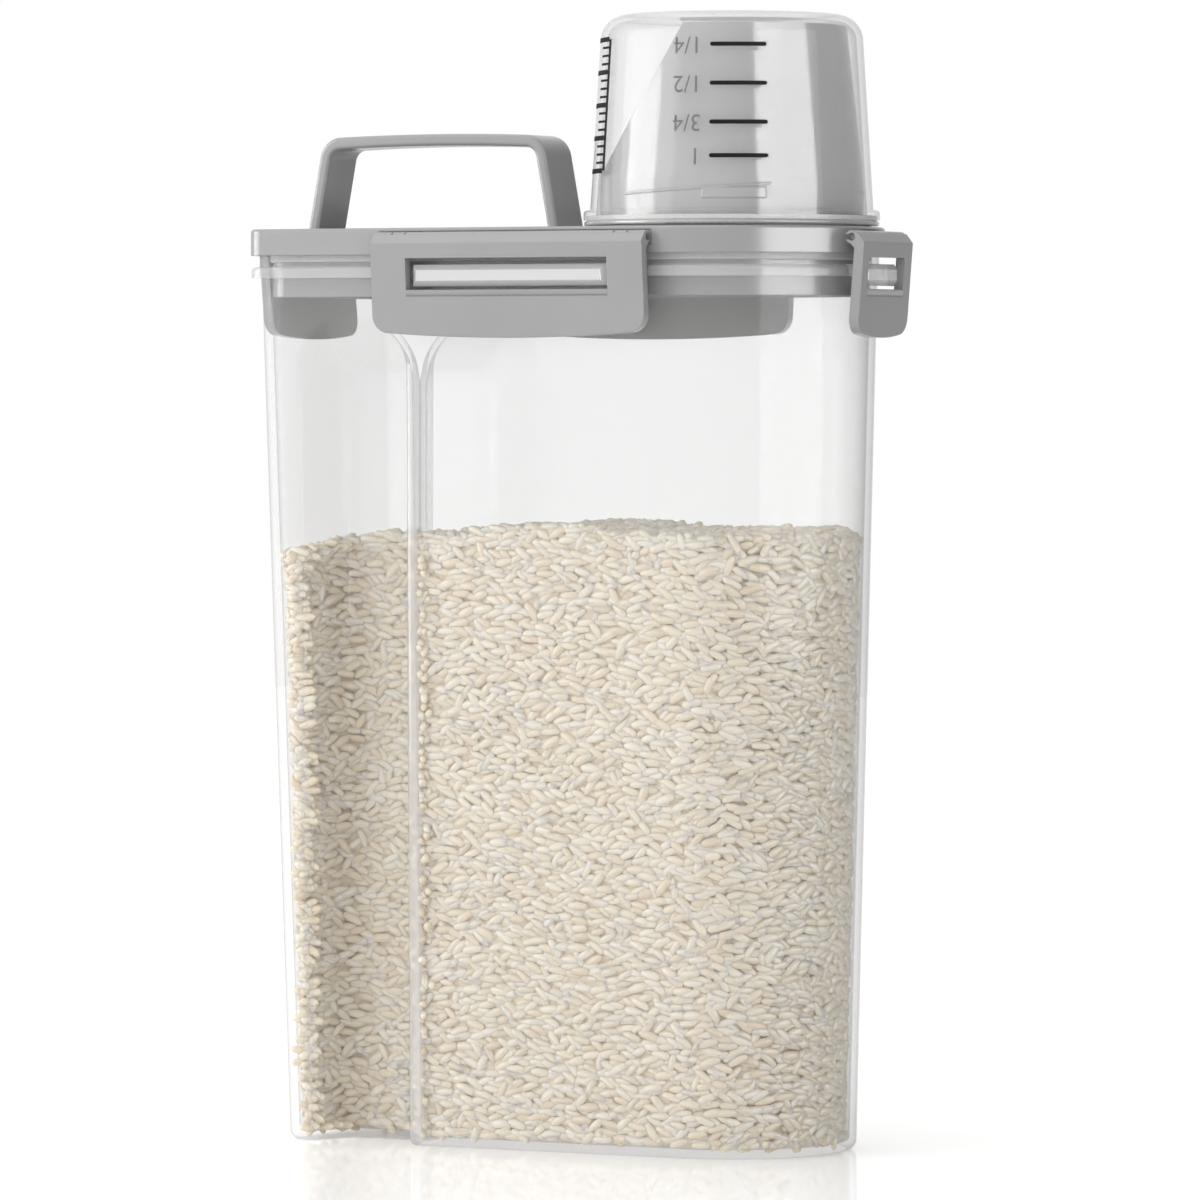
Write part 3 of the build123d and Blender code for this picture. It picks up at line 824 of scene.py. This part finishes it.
def add_cup_print():
    """Fraction bars with their labels, and a ruler up the side."""
    bars = [cup_bar(*MARK_TURNS, z, MARK_THICKNESS / 2) for z in MARK_HEIGHTS.values()]
    add_piece("cup_fraction_bars", *joined(bars), BLACK_INK, "cup")
    labels = [label_patch(text, LABEL_TURN, z) for text, z in MARK_HEIGHTS.items()]
    add_piece("cup_fraction_labels", *joined(labels), GREY_INK, "cup")
    add_piece("cup_ruler", *joined(ruler_patches()), BLACK_INK, "cup")


# Screw thread on the spout's neck

NECK_RADIUS = 37.9 * MM
NECK_SINK = 0.05 * MM
THREAD_STARTS = 3
THREAD_TURNS = (math.radians(-117), math.radians(-46))
THREAD_HEIGHTS = (274.3 * MM, 276.9 * MM)
THREAD_THICKNESS = 1.1 * MM
LUG_TURNS = (math.radians(-77), math.radians(-48.5))
LUG_HEIGHT = 274.3 * MM
LUG_THICKNESS = 3.6 * MM
RIDGE_OUT = 0.5 * MM
RIDGE_FLANK = 0.3
RIDGE_POINTS = 4


def neck_ridge(turns, heights, thickness, columns=40):
    """Raised ridge on the spout's neck with sloped flanks, run out at both ends."""
    verts = []
    flank = min(RIDGE_FLANK * thickness, RIDGE_OUT)
    half = thickness / 2
    for share in np.linspace(0, 1, columns):
        turn = turns[0] + (turns[1] - turns[0]) * share
        z = heights[0] + (heights[1] - heights[0]) * share
        to_end = min(share, 1 - share) * (turns[1] - turns[0]) * NECK_RADIUS
        rise = min(to_end, RIDGE_OUT)
        profile = ((-NECK_SINK, -half), (rise, flank - half), (rise, half - flank), (-NECK_SINK, half))
        for out, up in profile:
            radius = NECK_RADIUS + out
            verts.append((axis_x + radius * math.cos(turn), radius * math.sin(turn), z + up))
    faces = []
    for column in range(columns - 1):
        for row in range(RIDGE_POINTS - 1):
            first = RIDGE_POINTS * column + row
            faces.append((first, first + RIDGE_POINTS, first + RIDGE_POINTS + 1, first + 1))
    return verts, faces


def add_spout_thread():
    """Starts of a bayonet thread: each a climbing ridge and a level lug that stops the cup."""
    ridges = []
    for start in range(THREAD_STARTS):
        shift = 2 * math.pi * start / THREAD_STARTS
        thread_turns = [turn + shift for turn in THREAD_TURNS]
        lug_turns = [turn + shift for turn in LUG_TURNS]
        ridges.append(neck_ridge(thread_turns, THREAD_HEIGHTS, THREAD_THICKNESS))
        ridges.append(neck_ridge(lug_turns, (LUG_HEIGHT, LUG_HEIGHT), LUG_THICKNESS))
    add_piece("spout_thread", *joined(ridges), SPOUT_GLARE_GREY, "lid", "grey_plastic", smooth=False)


add_rice_core()
add_rice()
add_cup_print()
add_spout_thread()


# Studio: floor, light and camera; lengths in metres unless MM is named

FLOOR_SIZE = 6.0
CAMERA_TURN = math.radians(27.325)
CAMERA_PITCH = math.radians(1.551)
CAMERA_LENS = 239.55
CAMERA_SENSOR = 36.0
CAMERA_CLIP_END = 50.0
CAMERA_DISTANCE = 2316.9 * MM
CAMERA_SIDEWAYS = 3.0 * MM
CAMERA_HEIGHT = 220.2 * MM
MIDDLE = (0.0, 0.0, 0.2)
BRIGHT_SIDE = (-math.cos(CAMERA_TURN), -math.sin(CAMERA_TURN), 0.0)
DIM_STRENGTH = 0.1
DIM_RANGE = (-0.95, -0.15)


def add_floor():
    """Pale floor that runs far past the picture; returns a collection of all that gloss panels light."""
    half = FLOOR_SIZE / 2
    corners = [(-half, -half, 0), (half, -half, 0), (half, half, 0), (-half, half, 0)]
    mesh = bpy.data.meshes.new("studio_floor")
    mesh.from_pydata(corners, [], [(0, 1, 2, 3)])
    mesh.materials.append(floor_paper())
    floor = bpy.data.objects.new("studio_floor", mesh)
    bpy.context.scene.collection.objects.link(floor)
    all_but_floor = bpy.data.collections.new("all_but_floor")
    all_but_floor.objects.link(floor)
    all_but_floor.collection_objects[0].light_linking.link_state = "EXCLUDE"
    return all_but_floor


def add_area_light(name, place, width, height, power, gloss_on=None):
    """Soft light aimed at the object; a gloss panel only shows in reflections on a collection."""
    data = bpy.data.lights.new(name, "AREA")
    data.shape = "RECTANGLE"
    data.size = width
    data.size_y = height
    data.energy = power
    lamp = bpy.data.objects.new(name, data)
    lamp.location = place
    lamp.rotation_euler = (Vector(MIDDLE) - Vector(place)).to_track_quat("-Z", "Y").to_euler()
    lamp.visible_camera = False
    if gloss_on:
        lamp.visible_diffuse = False
        lamp.light_linking.receiver_collection = gloss_on
    bpy.context.scene.collection.objects.link(lamp)


def around(turn, distance, height):
    """Place round the object, turned in degrees from the camera's side towards the right."""
    heading = CAMERA_TURN - math.pi / 2 + math.radians(turn)
    return (distance * math.cos(heading), distance * math.sin(heading), height)


def add_world():
    """White surround that lights the object from all sides but its right, where it is dim."""
    world = bpy.data.worlds.new("studio_world")
    world.use_nodes = True
    tree = world.node_tree
    back = tree.nodes["Background"]
    back.inputs["Color"].default_value = (1.0, 1.0, 1.0, 1.0)
    place = tree.nodes.new("ShaderNodeTexCoord")
    turn = tree.nodes.new("ShaderNodeVectorMath")
    turn.operation = "DOT_PRODUCT"
    turn.inputs[1].default_value = BRIGHT_SIDE
    tree.links.new(place.outputs["Generated"], turn.inputs[0])
    shade = spread(tree.nodes, tree.links, turn.outputs["Value"], DIM_STRENGTH, 1.0, DIM_RANGE)
    seen = tree.nodes.new("ShaderNodeLightPath").outputs["Is Camera Ray"]
    strength = math_node(tree.nodes, tree.links, "MAXIMUM", shade, seen)
    tree.links.new(strength, back.inputs["Strength"])
    bpy.context.scene.world = world


def add_camera():
    """Long lens, a little above the middle, turned towards the spout end."""
    data = bpy.data.cameras.new("studio_camera")
    data.lens = CAMERA_LENS
    data.sensor_width = CAMERA_SENSOR
    data.clip_end = CAMERA_CLIP_END
    camera = bpy.data.objects.new("studio_camera", data)
    sine = math.sin(CAMERA_TURN)
    cosine = math.cos(CAMERA_TURN)
    camera.location = (
        CAMERA_DISTANCE * sine + CAMERA_SIDEWAYS * cosine,
        -CAMERA_DISTANCE * cosine + CAMERA_SIDEWAYS * sine,
        CAMERA_HEIGHT,
    )
    camera.rotation_euler = (math.pi / 2 - CAMERA_PITCH, 0.0, CAMERA_TURN)
    bpy.context.scene.collection.objects.link(camera)
    bpy.context.scene.camera = camera


bpy.context.scene.view_settings.view_transform = "Standard"
gloss_pieces = add_floor()
add_world()
add_area_light("top_light", around(-100, 0.5, 1.9), width=1.4, height=1.4, power=8.0)
add_area_light("left_light", around(-65, 1.9, 0.8), width=0.9, height=1.4, power=7.0)
add_area_light(
    "left_panel", around(-88, 1.8, 0.5), width=1.1, height=1.4, power=45.0, gloss_on=gloss_pieces
)
add_area_light(
    "right_panel", around(50, 1.8, 0.5), width=1.9, height=1.4, power=92.0, gloss_on=gloss_pieces
)
add_camera()
